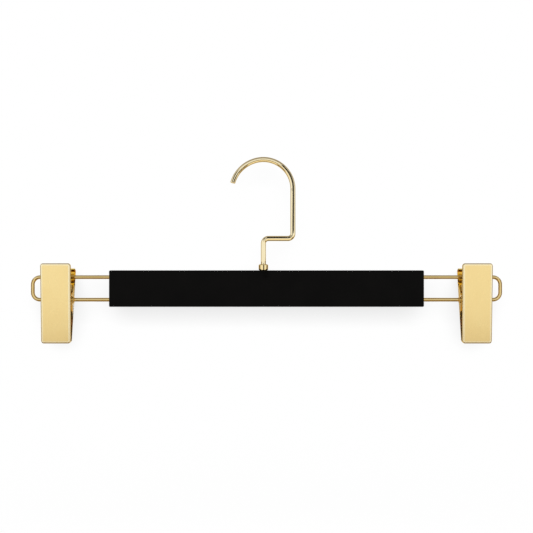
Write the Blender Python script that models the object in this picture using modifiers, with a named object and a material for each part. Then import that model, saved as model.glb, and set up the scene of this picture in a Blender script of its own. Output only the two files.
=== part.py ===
"""Trouser hanger: a lacquered bar on a stepped wire hook, with a sliding sprung clip at each end.

Metres, +Z up. The origin is the inside top of the hook, where the rail touches it, on the hook's
own axis. The front faces -Y and the bar runs along X.
"""

import math

import bmesh
import bpy
from mathutils import Matrix, Vector

# Fits: the running or seating gap left between neighbouring pieces
fit_gap = 0.0003

# Hook: one wire with a round head at its lower end
hook_wire_radius = 0.0021
hook_bend_radius = 0.0238
hook_tip_bend_radius = 0.0262
hook_tip_bend_start = math.radians(100)
hook_tip_angle = math.radians(164.5)
hook_step_height = 0.0616
hook_step_radius = 0.0040
hook_head_radius = 0.0034
hook_head_height = 0.0016
hook_head_round = 0.0006
hook_tip_round = 0.0008

# Bar
bar_length = 0.2520
bar_height = 0.0292
bar_depth = 0.0120
bar_edge_radius = 0.0010
bar_top = -0.0873
bar_centre_offset = 0.0025

# Collar on top of the bar, and the washer in the recess under it
collar_radius = 0.0039
collar_height = 0.0049
collar_shoulder = 0.0006
collar_spigot_radius = 0.0032
collar_spigot_length = 0.0080
washer_radius = 0.0050
washer_thickness = 0.0012
recess_radius = 0.0058
recess_depth = 0.0042

# Wire loops at the bar's ends
loop_wire_radius = 0.0015
loop_reach = 0.0640
loop_bend_radius = 0.0058
loop_wire_spacing = 0.0182
loop_hole_depth = 0.0225

# Clips: distance of their middle from the loop's outer end, and the sheet they are stamped from
clip_inset = 0.0220
sheet = 0.0008
rim_depth = 0.0019
plate_edge_radius = 0.0010
plate_corner_radius = 0.0022

# Front jaw, measured from the pivot along the plate and square to it
front_lean = math.radians(1.8)
front_reach = 0.00857
front_top = 0.0296
front_bottom = -0.03445
front_half_width_top = 0.0121
front_half_width_bottom = 0.0118
front_ear_radius = 0.0038
front_ear_half_base = 0.0135
front_ear_step = 0.0009
ear_root_radius = 0.0025

# Rear jaw, measured in the same way
rear_lean = math.radians(-13.07)
rear_reach = 0.00487
rear_top = 0.0262
rear_bottom = -0.03428
rear_half_width = 0.0119
rear_ear_radius = 0.0054
rear_ear_half_base = 0.0130
lip_round = 0.0028
lip_depth = 0.0034
lip_height = 0.0040

# Hollow pivot through the ears, running on the lower wire
tube_wall = 0.0004
tube_head_radius = 0.0031
tube_head_thickness = 0.0004

# Double torsion spring round the pivot
spring_wire_radius = 0.0006
spring_coil_radius = 0.00315
spring_pitch = 0.0017
spring_full_turns = 3
spring_points_per_turn = 10
spring_rear_leg = 0.0130
spring_front_leg = 0.0135
spring_bail_bend = 0.0014

# Grip pads in the lips
pad_thickness = 0.0011
pad_height = 0.0094
pad_margin = 0.0008
pad_rib_pitch = 0.0014
pad_rib_width = 0.0007
pad_groove_width = 0.0003
pad_groove_depth = 0.0003
pad_grooves = 6

# Facets, and how far a shape runs past or into the one that it is cut from or joined to
loop_resolution = 3
hook_resolution = 4
bend_points = 7
hook_bend_points = 22
hook_tip_points = 14
corner_points = 5
nose_points = 14
round_steps = 28
edge_segments = 3
lip_segments = 5
overlap = 0.0006
sharp_angle = math.radians(35)
same_place = 1e-7
slant = math.radians(6)

# Sizes that follow from those above
bar_bottom = bar_top - bar_height
bar_middle = bar_top - bar_height / 2
upper_wire_z = bar_middle + loop_wire_spacing / 2
lower_wire_z = bar_middle - loop_wire_spacing / 2
tube_bore_radius = loop_wire_radius + fit_gap
tube_radius = tube_bore_radius + tube_wall
ear_hole_radius = tube_radius + fit_gap
shank_hole_radius = hook_wire_radius + fit_gap
front_ear_outer = rear_half_width - sheet - fit_gap
tube_half_length = rear_half_width + fit_gap + tube_head_thickness
loop_half_span = bar_length / 2 + loop_reach
clip_place = loop_half_span - clip_inset
quarter_turn = math.pi / 2


def new_collection(name, hidden):
    collection = bpy.data.collections.new(name)
    collection.hide_render = hidden
    bpy.context.scene.collection.children.link(collection)
    return collection


for old in list(bpy.data.objects):
    bpy.data.objects.remove(old, do_unlink=True)

parts = new_collection("clip_hanger", False)
cutters = new_collection("cutters", True)


def material(name, colour, roughness, metallic):
    made = bpy.data.materials.new(name)
    made.use_nodes = True
    shader = made.node_tree.nodes["Principled BSDF"]
    shader.inputs["Base Color"].default_value = (*colour, 1.0)
    shader.inputs["Roughness"].default_value = roughness
    shader.inputs["Metallic"].default_value = metallic
    made.diffuse_color = (*colour, 1.0)
    return made


polished_gold = material("polished_gold", (0.86, 0.71, 0.40), 0.14, 1.0)
satin_gold = material("satin_gold", (0.89, 0.69, 0.30), 0.30, 1.0)
spring_steel = material("spring_steel", (0.78, 0.60, 0.28), 0.25, 1.0)
black_lacquer = material("black_lacquer", (0.006, 0.006, 0.006), 0.42, 0.0)
dark_rubber = material("dark_rubber", (0.05, 0.04, 0.03), 0.75, 0.0)


def add_object(name, mesh, look, place=None):
    made = bpy.data.objects.new(name, mesh)
    made.matrix_world = place or Matrix.Identity(4)
    if look:
        mesh.materials.clear()
        mesh.materials.append(look)
    parts.objects.link(made)
    return made


def smooth(made):
    made.data.shade_smooth()
    made.data.set_sharp_from_angle(angle=sharp_angle)


def solid_mesh(source):
    """The closed mesh of an object with its modifiers, or of a curve with its loose caps welded."""
    bpy.context.view_layer.update()
    evaluated = source.evaluated_get(bpy.context.evaluated_depsgraph_get())
    mesh = bpy.data.meshes.new_from_object(evaluated)
    work = bmesh.new()
    work.from_mesh(mesh)
    bmesh.ops.remove_doubles(work, verts=work.verts, dist=same_place)
    bmesh.ops.recalc_face_normals(work, faces=work.faces)
    work.to_mesh(mesh)
    work.free()
    return mesh


def made_solid(source, name=None):
    """Replaces an object by a plain mesh object of its evaluated shape."""
    mesh = solid_mesh(source)
    name = name or source.name
    place = source.matrix_world.copy()
    look = source.active_material
    bpy.data.objects.remove(source, do_unlink=True)
    return add_object(name, mesh, look, place)


def as_cutter(made):
    parts.objects.unlink(made)
    cutters.objects.link(made)
    made.hide_render = True
    made.display_type = "WIRE"
    return made


def combine(made, other, operation):
    boolean = made.modifiers.new(operation.lower() + "_" + other.name, "BOOLEAN")
    boolean.operation = operation
    boolean.solver = "EXACT"
    boolean.object = as_cutter(other)


def polyline(name, points, radius, resolution, look, widths=None):
    """A wire along the points, with filled caps; widths are shares of its radius at each point."""
    curve = bpy.data.curves.new(name, "CURVE")
    curve.dimensions = "3D"
    curve.bevel_depth = radius
    curve.bevel_resolution = resolution
    curve.use_fill_caps = True
    curve.twist_mode = "MINIMUM"
    spline = curve.splines.new("POLY")
    spline.points.add(len(points) - 1)
    for point, place in zip(spline.points, points):
        point.co = (*place, 1.0)
    if widths:
        spline.points.foreach_set("radius", widths)
    curve.materials.append(look)
    made = bpy.data.objects.new(name, curve)
    parts.objects.link(made)
    return made


def flat_plate(name, outlines, thickness, place, look):
    """A sheet of the given thickness: the first outline is its edge and the others are holes."""
    curve = bpy.data.curves.new(name, "CURVE")
    curve.dimensions = "2D"
    curve.fill_mode = "BOTH"
    curve.extrude = thickness / 2
    for outline in outlines:
        spline = curve.splines.new("POLY")
        spline.points.add(len(outline) - 1)
        spline.use_cyclic_u = True
        for point, (across, up) in zip(spline.points, outline):
            point.co = (across, up, 0.0, 1.0)
    curve.materials.append(look)
    made = bpy.data.objects.new(name, curve)
    made.matrix_world = place
    parts.objects.link(made)
    return made_solid(made)


def turned(name, profile, look):
    """A solid of revolution about Z: the profile runs down its outer side, then back up inside."""
    mesh = bpy.data.meshes.new(name)
    count = len(profile)
    edges = [(i, (i + 1) % count) for i in range(count)]
    mesh.from_pydata([(radius, 0.0, height) for radius, height in profile], edges, [])
    made = add_object(name, mesh, look)
    screw = made.modifiers.new("screw", "SCREW")
    screw.steps = round_steps
    screw.render_steps = round_steps
    screw.use_merge_vertices = True
    screw.merge_threshold = 1e-6
    screw.use_smooth_shade = True
    return made


def drill(made, name, radius, start, end):
    """Cuts a round hole between two points."""
    start = Vector(start)
    end = Vector(end)
    work = bmesh.new()
    bmesh.ops.create_cone(
        work,
        cap_ends=True,
        segments=round_steps,
        radius1=radius,
        radius2=radius,
        depth=(end - start).length,
    )
    mesh = bpy.data.meshes.new(name)
    work.to_mesh(mesh)
    work.free()
    turn = (end - start).to_track_quat("Z", "Y").to_matrix().to_4x4()
    combine(made, add_object(name, mesh, None, Matrix.Translation((start + end) / 2) @ turn), "DIFFERENCE")


def block(name, low, high, look, radius):
    """A box between two corners, with every edge rounded."""
    low = Vector(low)
    high = Vector(high)
    work = bmesh.new()
    bmesh.ops.create_cube(work, size=1.0)
    for vertex in work.verts:
        vertex.co = Vector(low[i] + (vertex.co[i] + 0.5) * (high[i] - low[i]) for i in range(3))
    mesh = bpy.data.meshes.new(name)
    work.to_mesh(mesh)
    work.free()
    made = add_object(name, mesh, look)
    bevel = made.modifiers.new("rounded_edges", "BEVEL")
    bevel.width = radius
    bevel.segments = edge_segments
    return made


def arc(centre, radius, start, end, count):
    """Points on an arc in a plane, as pairs, both ends included."""
    found = []
    for i in range(count):
        angle = start + (end - start) * i / (count - 1)
        found.append((centre[0] + radius * math.cos(angle), centre[1] + radius * math.sin(angle)))
    return found


def build_hook():
    """From the head inside the bar up the shank, over the step and round to the tip."""
    eye = (0.0, hook_wire_radius - hook_bend_radius)
    step = -hook_step_height
    bend = hook_step_radius
    head_top = bar_bottom + recess_depth - washer_thickness - 2 * fit_gap
    head_bottom = head_top - hook_head_height
    outline = [(0.0, head_top - overlap)]
    outline += arc((bend, step - bend), bend, 2 * quarter_turn, quarter_turn, bend_points)
    outline += arc((hook_bend_radius - bend, step + bend), bend, -quarter_turn, 0.0, bend_points)
    outline += arc(eye, hook_bend_radius, 0.0, hook_tip_bend_start, hook_bend_points)
    growth = hook_bend_radius - hook_tip_bend_radius
    tip_eye = (
        eye[0] + growth * math.cos(hook_tip_bend_start),
        eye[1] + growth * math.sin(hook_tip_bend_start),
    )
    tip = arc(tip_eye, hook_tip_bend_radius, hook_tip_bend_start, hook_tip_angle, hook_tip_points)
    outline += tip[1:-1]
    points = [(x, 0.0, z) for x, z in outline]
    widths = [1.0] * len(points)
    end = Vector((tip[-1][0], 0.0, tip[-1][1]))
    along = Vector((-math.sin(hook_tip_angle), 0.0, math.cos(hook_tip_angle)))
    core = hook_wire_radius - hook_tip_round
    for lift, spread in arc((0.0, 0.0), hook_tip_round, quarter_turn, 0.0, corner_points):
        points.append(end + along * (lift - hook_tip_round))
        widths.append((core + spread) / hook_wire_radius)
    wire = polyline("hook", points, hook_wire_radius, hook_resolution, polished_gold, widths)
    hook = made_solid(wire)
    head = turned(
        "hook_head",
        [
            (0.0, head_top),
            (hook_head_radius, head_top),
            (hook_head_radius, head_bottom + hook_head_round),
            (hook_head_radius - hook_head_round, head_bottom),
            (0.0, head_bottom),
        ],
        polished_gold,
    )
    combine(hook, head, "UNION")
    smooth(hook)


def build_collar():
    """Turned ferrule: a chamfered shoulder above the bar and a spigot pressed into it."""
    bottom = bar_top + fit_gap
    top = bar_top + collar_height
    collar = turned(
        "hook_collar",
        [
            (shank_hole_radius, top),
            (collar_radius - collar_shoulder, top),
            (collar_radius, top - collar_shoulder),
            (collar_radius, bottom),
            (collar_spigot_radius, bottom),
            (collar_spigot_radius, bar_top - collar_spigot_length),
            (shank_hole_radius, bar_top - collar_spigot_length),
        ],
        polished_gold,
    )
    smooth(made_solid(collar))


def build_washer():
    top = bar_bottom + recess_depth - fit_gap
    washer = turned(
        "hook_washer",
        [
            (shank_hole_radius, top),
            (washer_radius, top),
            (washer_radius, top - washer_thickness),
            (shank_hole_radius, top - washer_thickness),
        ],
        polished_gold,
    )
    smooth(made_solid(washer))


def build_bar():
    half = bar_length / 2
    bar = block(
        "bar",
        (bar_centre_offset - half, -bar_depth / 2, bar_bottom),
        (bar_centre_offset + half, bar_depth / 2, bar_top),
        black_lacquer,
        bar_edge_radius,
    )
    drill(
        bar,
        "shank_bore",
        shank_hole_radius,
        (0, 0, bar_bottom - overlap),
        (0, 0, bar_top + overlap),
    )
    drill(
        bar,
        "spigot_bore",
        collar_spigot_radius + fit_gap,
        (0, 0, bar_top - collar_spigot_length - fit_gap),
        (0, 0, bar_top + overlap),
    )
    drill(
        bar,
        "recess_bore",
        recess_radius,
        (0, 0, bar_bottom - overlap),
        (0, 0, bar_bottom + recess_depth),
    )
    for side, end in ((-1, "left"), (1, "right")):
        outside = bar_centre_offset + side * (half + overlap)
        inside = bar_centre_offset + side * (half - loop_hole_depth)
        for label, height in (("upper", upper_wire_z), ("lower", lower_wire_z)):
            drill(
                bar,
                f"{end}_{label}_wire_bore",
                tube_bore_radius,
                (outside, 0, height),
                (inside, 0, height),
            )


def build_loop(name, side):
    """A round-cornered U of wire, its two legs held in the bar's end."""
    inner = bar_length / 2 - loop_hole_depth + fit_gap
    outer = loop_half_span - loop_wire_radius
    bend = loop_bend_radius
    outline = [(inner, upper_wire_z)]
    outline += arc((outer - bend, upper_wire_z - bend), bend, quarter_turn, 0.0, bend_points)
    outline += arc((outer - bend, lower_wire_z + bend), bend, 0.0, -quarter_turn, bend_points)
    outline.append((inner, lower_wire_z))
    points = [(bar_centre_offset + side * x, 0.0, z) for x, z in outline]
    return polyline(name, points, loop_wire_radius, loop_resolution, polished_gold)


def clip_frame(side, lean):
    """A clip's own frame: the pivot axis along X at its origin, Z up along the leaning plate."""
    centre = (bar_centre_offset + side * clip_place, 0.0, lower_wire_z)
    return Matrix.Translation(centre) @ Matrix.Rotation(lean, 4, "X")


def round_edges(work, edges, radius, segments):
    bmesh.ops.bevel(
        work,
        geom=edges,
        offset=radius,
        segments=segments,
        profile=0.5,
        affect="EDGES",
    )
    work.normal_update()


def runs_along(edge, axis):
    """Whether an edge runs along X, Y or Z, given as 0, 1 or 2."""
    return abs((edge.verts[1].co - edge.verts[0].co).normalized()[axis]) > math.cos(slant)


def deepen_lip(work, lip_edge, start):
    """Lets the two side rims run deeper from the given height up to the top edge."""
    sides = [edge for edge in work.edges if edge.is_boundary and runs_along(edge, 2)]
    sides.sort(key=lambda edge: edge.calc_length())
    for edge in sides[-2:]:
        upper = max(edge.verts, key=lambda vertex: vertex.co.z)
        share = (upper.co.z - start) / edge.calc_length()
        bmesh.utils.edge_split(edge, upper, share)
        upper.co.y = lip_edge


def tray(name, reach, facing, top, bottom, half_top, half_bottom, rolled, look):
    """A pressed plate with a rim turned in all round; a rolled one has its top turned over deeper."""
    outside = facing * reach
    inside = facing * (reach - rim_depth)
    work = bmesh.new()
    bmesh.ops.create_cube(work, size=2.0)
    for vertex in work.verts:
        x, y, z = vertex.co
        half = half_top if z > 0 else half_bottom
        vertex.co = (x * half, outside if y * facing > 0 else inside, top if z > 0 else bottom)
    back = [face for face in work.faces if face.normal.y * facing < -math.cos(slant)]
    bmesh.ops.delete(work, geom=back, context="FACES_ONLY")
    corners = [edge for edge in work.edges if runs_along(edge, 1)]
    if rolled:
        corners = [edge for edge in corners if edge.verts[0].co.z < 0]
    round_edges(work, corners, plate_corner_radius, edge_segments)
    if rolled:
        deepen_lip(work, facing * (reach - lip_depth), top - lip_height)
        fold = [
            edge
            for edge in work.edges
            if all(vertex.co.z > top - same_place for vertex in edge.verts)
            and all(abs(vertex.co.y - outside) < same_place for vertex in edge.verts)
        ]
        round_edges(work, fold, lip_round, lip_segments)
    rim = set()
    for face in work.faces:
        x, y, z = face.normal
        turned_in = abs(y) < math.sin(slant)
        if turned_in and (not rolled or abs(x) > math.sin(slant) or z < 0):
            rim.add(face)
    bends = []
    for edge in work.edges:
        if not edge.is_boundary and len(rim.intersection(edge.link_faces)) == 1:
            bends.append(edge)
    round_edges(work, bends, plate_edge_radius, edge_segments)
    bmesh.ops.recalc_face_normals(work, faces=work.faces)
    plate = max(work.faces, key=lambda face: face.calc_area())
    if plate.normal.y * facing < 0:
        bmesh.ops.reverse_faces(work, faces=work.faces)
    mesh = bpy.data.meshes.new(name)
    work.to_mesh(mesh)
    work.free()
    made = add_object(name, mesh, look)
    shell = made.modifiers.new("sheet", "SOLIDIFY")
    shell.thickness = sheet
    shell.offset = -1.0
    shell.use_even_offset = True
    return made


def fillet(before, corner, after, radius):
    """Points of the arc that rounds a corner of an outline."""
    before = Vector(before)
    corner = Vector(corner)
    after = Vector(after)
    first = (before - corner).normalized()
    last = (after - corner).normalized()
    half = first.angle(last) / 2
    centre = corner + (first + last).normalized() * radius / math.sin(half)
    start = corner + first * radius / math.tan(half) - centre
    end = corner + last * radius / math.tan(half) - centre
    sweep = start.angle_signed(end)
    found = []
    for i in range(corner_points):
        turned_start = start.copy()
        turned_start.rotate(Matrix.Rotation(-sweep * i / (corner_points - 1), 2))
        found.append(tuple(centre + turned_start))
    return found


def ear_outline(base_y, nose_radius, half_base, root_y):
    """An ear seen from the side, as (y, z) pairs: curved roots, straight edges and a round nose."""
    base = Vector((base_y, half_base))
    away = math.atan2(base.y, base.x)
    spread = math.acos(nose_radius / base.length)
    top_angle = away + math.copysign(spread, base_y)
    bottom_angle = -top_angle
    if base_y > 0:
        bottom_angle += 4 * quarter_turn
    nose = arc((0.0, 0.0), nose_radius, top_angle, bottom_angle, nose_points)
    above = (base_y, half_base + ear_root_radius)
    upper_root = fillet(above, (base_y, half_base), nose[0], ear_root_radius)
    lower_root = [(y, -z) for y, z in reversed(upper_root)]
    first = (root_y, upper_root[0][1])
    last = (root_y, lower_root[-1][1])
    return [first] + upper_root + nose + lower_root + [last]


def circle(radius):
    last = 4 * quarter_turn * (1 - 1 / round_steps)
    return arc((0.0, 0.0), radius, 0.0, last, round_steps)


def bent_strip(path, thickness):
    """Outline of a sheet that follows the middle points of a path, with mitred corners."""
    points = [Vector(point) for point in path]
    left = []
    right = []
    for i, point in enumerate(points):
        before = (point - points[i - 1]).normalized() if i else None
        after = (points[i + 1] - point).normalized() if i + 1 < len(points) else None
        along = ((before or after) + (after or before)).normalized()
        across = Vector((-along.y, along.x))
        reach = thickness / 2 / (along.dot(before or after))
        left.append(tuple(point + across * reach))
        right.append(tuple(point - across * reach))
    return left + list(reversed(right))


side_plane = Matrix(((0, 0, 1, 0), (1, 0, 0, 0), (0, 1, 0, 0), (0, 0, 0, 1)))


def build_ear(name, outer, outline):
    """A flat ear with its outer face at the given distance from the clip's middle, on either side."""
    middle = math.copysign(abs(outer) - sheet / 2, outer)
    place = Matrix.Translation((middle, 0.0, 0.0)) @ side_plane
    return flat_plate(name, [outline, circle(ear_hole_radius)], sheet, place, satin_gold)


def build_front_jaw():
    """The visible jaw: its ears step inwards from the rim so that they fit inside the rear jaw's."""
    jaw = tray(
        "front_jaw_blank",
        front_reach,
        -1,
        front_top,
        front_bottom,
        front_half_width_top,
        front_half_width_bottom,
        False,
        satin_gold,
    )
    rim_edge = rim_depth - front_reach
    ear_start = rim_edge + front_ear_step
    outline = ear_outline(ear_start, front_ear_radius, front_ear_half_base, ear_start - overlap / 2)
    half_length = outline[0][1]
    rim_middle = front_half_width_bottom - sheet / 2
    ear_middle = front_ear_outer - sheet / 2
    step = [
        (rim_middle, rim_edge - overlap),
        (rim_middle, rim_edge),
        (ear_middle, ear_start - overlap / 2),
        (ear_middle, ear_start + overlap / 2),
    ]
    for side, end in ((-1, "left"), (1, "right")):
        ear = build_ear(f"{end}_front_ear", side * front_ear_outer, outline)
        combine(jaw, ear, "UNION")
        across = bent_strip([(side * x, y) for x, y in step], sheet)
        web = flat_plate(f"{end}_ear_step", [across], 2 * half_length, Matrix.Identity(4), satin_gold)
        combine(jaw, web, "UNION")
    return jaw


def build_rear_jaw():
    """The jaw behind: its ears are flush with its rim, and its top is rolled over for the fingers."""
    jaw = tray(
        "rear_jaw_blank",
        rear_reach,
        1,
        rear_top,
        rear_bottom,
        rear_half_width,
        rear_half_width,
        True,
        satin_gold,
    )
    rim_edge = rear_reach - rim_depth
    outline = ear_outline(rim_edge, rear_ear_radius, rear_ear_half_base, rim_edge + overlap)
    for side, end in ((-1, "left"), (1, "right")):
        ear = build_ear(f"{end}_rear_ear", side * rear_half_width, outline)
        combine(jaw, ear, "UNION")
    return jaw


def build_pivot_tube():
    """Hollow rivet: a thin tube with a rolled head at each end, turned about X."""
    half = tube_half_length
    inner = half - tube_head_thickness
    tube = turned(
        "pivot_tube_blank",
        [
            (tube_bore_radius, half),
            (tube_head_radius - tube_head_thickness / 2, half),
            (tube_head_radius, half - tube_head_thickness / 2),
            (tube_head_radius, inner),
            (tube_radius, inner),
            (tube_radius, -inner),
            (tube_head_radius, -inner),
            (tube_head_radius, -half + tube_head_thickness / 2),
            (tube_head_radius - tube_head_thickness / 2, -half),
            (tube_bore_radius, -half),
        ],
        polished_gold,
    )
    return tube


def build_pad(name, reach, facing, bottom, half_width):
    """Grip pad: a flat back on the plate and cross ribs on its face."""
    back = facing * (reach - sheet - fit_gap / 2)
    face = back - facing * pad_thickness
    groove = face + facing * pad_groove_depth
    slope = (pad_rib_pitch - pad_rib_width - pad_groove_width) / 2
    low = bottom + sheet + pad_margin
    outline = [(back, low), (face, low)]
    for i in range(pad_grooves):
        start = low + pad_rib_pitch * i + pad_rib_width
        outline.append((face, start))
        outline.append((groove, start + slope))
        outline.append((groove, start + slope + pad_groove_width))
        outline.append((face, start + 2 * slope + pad_groove_width))
    outline += [(face, low + pad_height), (back, low + pad_height)]
    width = 2 * (half_width - sheet - pad_margin)
    return flat_plate(name, [outline], width, side_plane, dark_rubber)


def spring_path():
    """The spring's centreline in the clip's frame: rear leg, coil, front bail, coil, rear leg."""
    radius = spring_coil_radius
    bail_y = fit_gap + spring_wire_radius + sheet - front_reach
    bail = Matrix.Rotation(front_lean, 2) @ Vector((bail_y, spring_front_leg))
    full_turn = 4 * quarter_turn
    start = quarter_turn - rear_lean
    end = full_turn * (spring_full_turns + 1) - math.atan2(-bail.x, bail.y)
    end -= math.acos(radius / bail.length)
    steps = round((end - start) / full_turn * spring_points_per_turn)
    outer = front_ear_outer - sheet - fit_gap - spring_wire_radius
    inner = outer - (end - start) / full_turn * spring_pitch
    coil = []
    for i in range(steps + 1):
        angle = start + (end - start) * i / steps
        x = outer + (inner - outer) * i / steps
        coil.append(Vector((x, radius * math.sin(angle), radius * math.cos(angle))))
    leg = Vector((0.0, -math.sin(rear_lean), math.cos(rear_lean))) * spring_rear_leg
    top = Vector((inner, bail.x, bail.y))
    rise = (top - coil[-1]).normalized()
    half = [coil[0] + leg] + coil
    for across, along in arc((0.0, 0.0), spring_bail_bend, 0.0, quarter_turn, corner_points):
        inset = Vector((across - spring_bail_bend, 0.0, 0.0))
        half.append(top + inset + rise * (along - spring_bail_bend))
    return half + [Vector((-point.x, point.y, point.z)) for point in reversed(half)]


def least_gap(points, radius):
    """Least gap of a coiled wire to itself, between stretches over half a curl apart along it."""
    near = radius / 2
    dense = []
    for a, b in zip(points, points[1:]):
        count = math.ceil((b - a).length / near)
        dense += [a.lerp(b, i / count) for i in range(count)]
    apart = math.ceil(2 * quarter_turn * spring_coil_radius / near)
    least = min((a - b).length for i, a in enumerate(dense) for b in dense[i + apart :])
    return least - 2 * radius


def build_spring(name, place):
    spring = polyline(name, spring_path(), spring_wire_radius, 1, spring_steel)
    spring.matrix_world = place
    return spring


def build_clip(label, side):
    """Six pieces; each jaw and its pad have their origin on the pivot's axis."""
    upright = clip_frame(side, 0.0)
    front = clip_frame(side, front_lean)
    rear = clip_frame(side, rear_lean)
    pieces = (
        ("front_jaw", build_front_jaw(), front),
        ("rear_jaw", build_rear_jaw(), rear),
        ("pivot_tube", build_pivot_tube(), upright @ Matrix.Rotation(quarter_turn, 4, "Y")),
    )
    for piece, blank, place in pieces:
        solid = made_solid(blank, f"{label}_clip_{piece}")
        solid.matrix_world = place
        smooth(solid)
    for piece, place, values in (
        ("front_pad", front, (front_reach, -1, front_bottom, front_half_width_bottom)),
        ("rear_pad", rear, (rear_reach, 1, rear_bottom, rear_half_width)),
    ):
        pad = build_pad(f"{label}_clip_{piece}", *values)
        pad.matrix_world = place @ side_plane
    build_spring(f"{label}_clip_spring", upright)


build_hook()
build_collar()
build_washer()
build_bar()
build_loop("left_wire_loop", -1)
build_loop("right_wire_loop", 1)
build_clip("left", -1)
build_clip("right", 1)
print(f"least gap of a spring to itself: {1000 * least_gap(spring_path(), spring_wire_radius):.2f} mm")
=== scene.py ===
"""The look of the trouser hanger: finer pieces over the solids, their finishes and a plain studio.

Metres, +Z up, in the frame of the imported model: the origin is the inside top of the hook, the front
faces -Y and the bar runs along X.
"""

import math

import bmesh
import bpy
from mathutils import Matrix, Vector


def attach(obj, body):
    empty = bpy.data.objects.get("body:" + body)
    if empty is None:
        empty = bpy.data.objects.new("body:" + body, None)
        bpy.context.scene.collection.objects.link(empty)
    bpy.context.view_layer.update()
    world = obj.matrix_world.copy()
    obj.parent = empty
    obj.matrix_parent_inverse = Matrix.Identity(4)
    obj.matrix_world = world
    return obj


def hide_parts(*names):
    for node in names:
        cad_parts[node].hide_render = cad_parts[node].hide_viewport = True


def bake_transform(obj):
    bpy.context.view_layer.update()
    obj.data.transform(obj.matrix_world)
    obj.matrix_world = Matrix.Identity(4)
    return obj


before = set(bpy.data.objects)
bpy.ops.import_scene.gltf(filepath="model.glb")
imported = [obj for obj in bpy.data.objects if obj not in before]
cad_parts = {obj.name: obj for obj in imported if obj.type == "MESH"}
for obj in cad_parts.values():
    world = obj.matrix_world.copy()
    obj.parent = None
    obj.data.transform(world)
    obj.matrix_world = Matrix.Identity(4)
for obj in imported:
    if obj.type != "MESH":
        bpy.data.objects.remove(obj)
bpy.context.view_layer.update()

scene = bpy.context.scene
quarter_turn = math.pi / 2
full_turn = 4 * quarter_turn
sides = (("left", -1), ("right", 1))

# Fits
fit_gap = 0.0003

# Hook
hook_wire_radius = 0.0021
hook_bend_radius = 0.0238
hook_tip_bend_radius = 0.0262
hook_tip_bend_start = math.radians(100)
hook_tip_angle = math.radians(164.5)
hook_step_height = 0.0616
hook_step_radius = 0.0040
hook_head_radius = 0.0034
hook_head_height = 0.0016
hook_head_round = 0.0006
hook_tip_round = 0.0008

# Bar
bar_length = 0.2520
bar_height = 0.0292
bar_depth = 0.0120
bar_edge_radius = 0.0010
bar_top = -0.0873
bar_centre_offset = 0.0025

# Collar and washer
collar_radius = 0.0039
collar_height = 0.0049
collar_shoulder = 0.0006
collar_spigot_radius = 0.0032
collar_spigot_length = 0.0080
washer_radius = 0.0050
washer_thickness = 0.0012
recess_radius = 0.0052
recess_depth = 0.0042
turned_edge_round = 0.00015

# Wire loops
loop_wire_radius = 0.0015
loop_reach = 0.0640
loop_bend_radius = 0.0058
loop_wire_spacing = 0.0182
loop_hole_depth = 0.0225

# Clips
clip_inset = 0.0220
sheet = 0.0008
rim_depth = 0.0019
plate_edge_radius = 0.0010
plate_corner_radius = 0.0022
cut_edge_round = 0.00012

# Front jaw
front_lean = math.radians(1.8)
front_reach = 0.00857
front_top = 0.0296
front_bottom = -0.03445
front_half_width_top = 0.0121
front_half_width_bottom = 0.0118
front_ear_radius = 0.0038
front_ear_half_base = 0.0135
front_ear_step = 0.0009
ear_root_radius = 0.0025

# Rear jaw
rear_lean = math.radians(-13.07)
rear_reach = 0.00487
rear_top = 0.0262
rear_bottom = -0.03428
rear_half_width = 0.0119
rear_ear_radius = 0.0054
rear_ear_half_base = 0.0130
lip_round = 0.0028
lip_depth = 0.0034
lip_height = 0.0040

# Hollow pivot
tube_wall = 0.0004
tube_head_radius = 0.0031
tube_head_thickness = 0.0004

# Double torsion spring
spring_wire_radius = 0.0006
spring_coil_radius = 0.00315
spring_pitch = 0.0017
spring_full_turns = 3
spring_points_per_turn = 36
spring_rear_leg = 0.0130
spring_front_leg = 0.0135
spring_bail_bend = 0.0014
spring_leg_points = 24

# Grip pads
pad_thickness = 0.0011
pad_height = 0.0094
pad_margin = 0.0008
pad_rib_pitch = 0.0014
pad_rib_width = 0.0007
pad_groove_width = 0.0003
pad_groove_depth = 0.0003
pad_grooves = 6

# Fineness of the shapes
wire_sides = 40
bend_points = 15
hook_bend_points = 61
hook_tip_points = 33
corner_points = 9
nose_points = 33
round_steps = 56
turned_corner_points = 4
edge_segments = 8
lip_segments = 14
cut_edge_segments = 2
cut_edge_angle = math.radians(50)
spring_wire_resolution = 5
overlap = 0.0006
same_place = 1e-7
slant = math.radians(6)
sharp_angle = math.radians(35)

# Sizes that follow
bar_bottom = bar_top - bar_height
bar_middle = bar_top - bar_height / 2
upper_wire_z = bar_middle + loop_wire_spacing / 2
lower_wire_z = bar_middle - loop_wire_spacing / 2
tube_bore_radius = loop_wire_radius + fit_gap
tube_radius = tube_bore_radius + tube_wall
ear_hole_radius = tube_radius + fit_gap
shank_hole_radius = hook_wire_radius + fit_gap
front_ear_outer = rear_half_width - sheet - fit_gap
tube_half_length = rear_half_width + fit_gap + tube_head_thickness
loop_half_span = bar_length / 2 + loop_reach
clip_place = loop_half_span - clip_inset

# The plane of Y and Z, for an outline that is drawn in X and Y
side_plane = Matrix(((0, 0, 1, 0), (1, 0, 0, 0), (0, 1, 0, 0), (0, 0, 0, 1)))

# Noise in the finishes: cells per metre, detail and the part of its range that is used
tone_grain = (55, 55, 55)
tone_detail = 3.0
surface_detail = 4.0
patch_grain = (420, 420, 420)
noise_low = 0.3
noise_high = 0.7

# Edges in the finishes: a painted highlight band along all edges, and worn patches along convex edges
edge_highlight_width = 0.0020
edge_highlight_samples = 8
edge_highlight_start = 0.9998
edge_highlight_full = 0.994
worn_start = 0.53
worn_full = 0.60


# Finishes


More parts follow.
